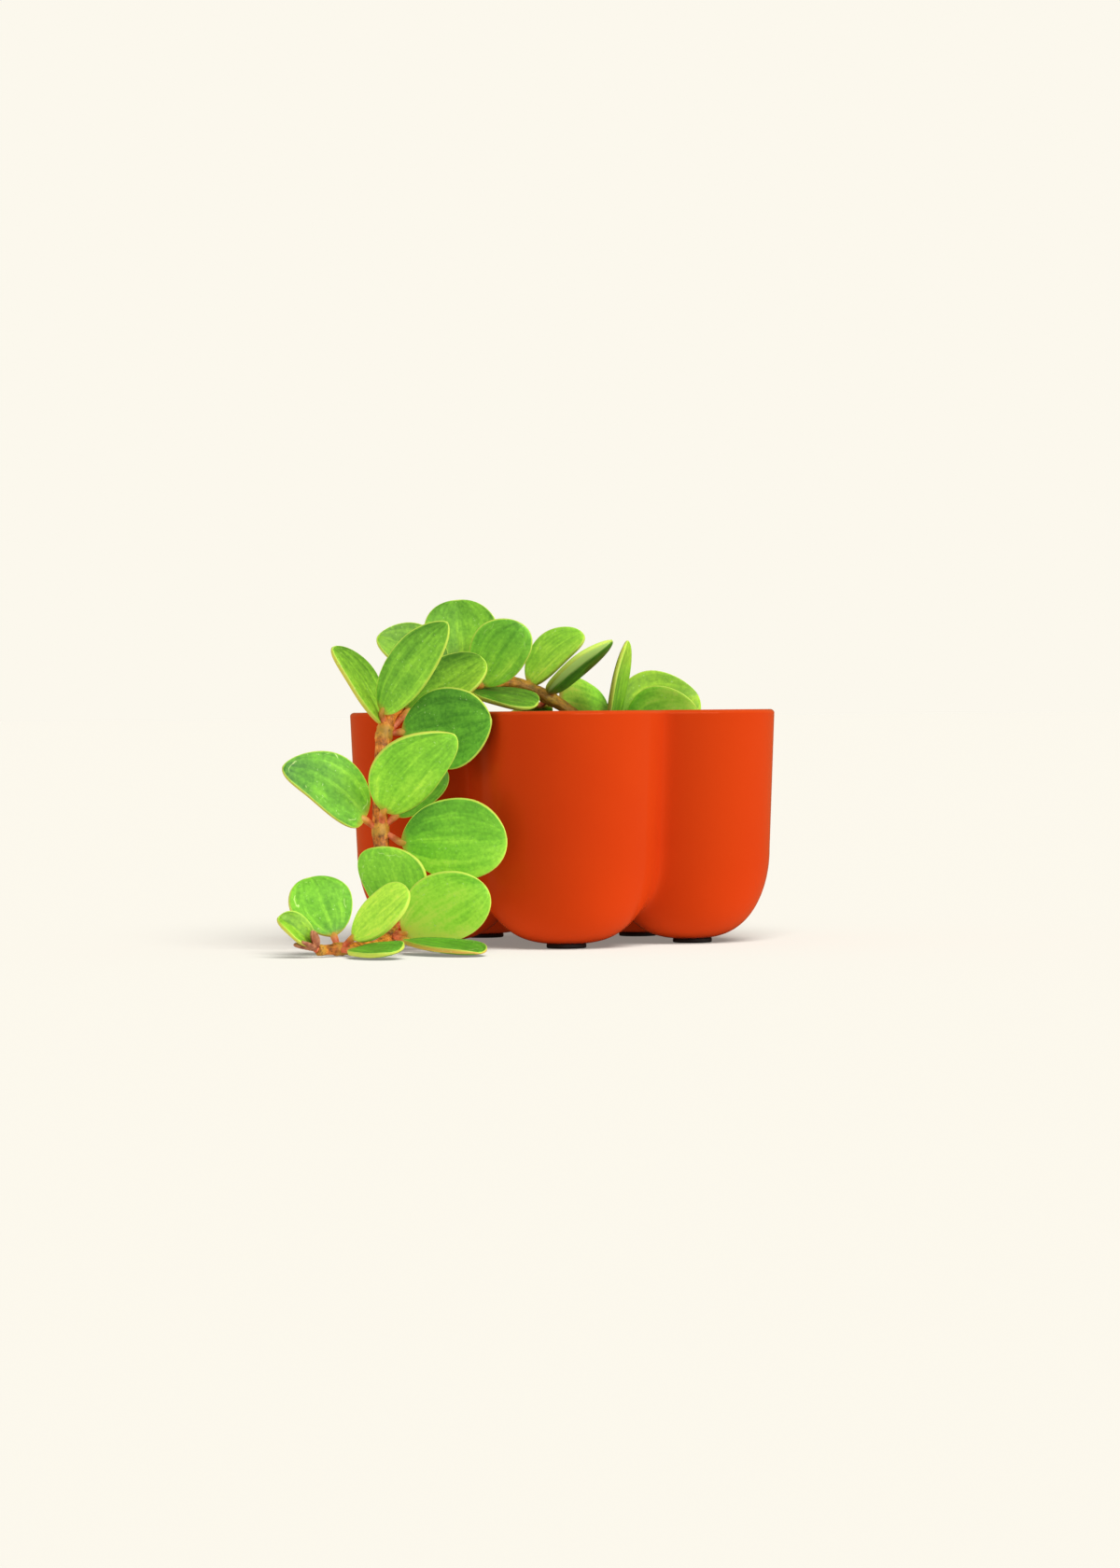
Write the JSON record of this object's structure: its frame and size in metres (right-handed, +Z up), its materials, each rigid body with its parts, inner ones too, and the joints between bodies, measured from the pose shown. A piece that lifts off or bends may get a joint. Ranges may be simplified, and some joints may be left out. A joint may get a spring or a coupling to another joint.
{
  "type": "trailing potted peperomia",
  "caption": "Trailing jade peperomia in an orange glazed pot of five round lobes, one stem hanging over the rim and down to the surface.",
  "frame": {"origin": "middle of the whole footprint, plant included, on the surface that the pot stands on", "axes": "+Z up, -Y the front where the stem trails, +X to the viewer's right seen from the front"},
  "size_m": [0.1359, 0.1517, 0.0968],
  "materials": {
    "glazed_pot": "gloss",
    "rubber_foot": "matte",
    "soil": "matte",
    "plant": "satin"
  },
  "bodies": {
    "root": {"pot": "glazed_pot", "foot_1": "rubber_foot", "foot_2": "rubber_foot", "foot_3": "rubber_foot", "foot_4": "rubber_foot", "foot_5": "rubber_foot", "soil": "soil", "trailing_vine": "plant"}
  },
  "joints": []
}
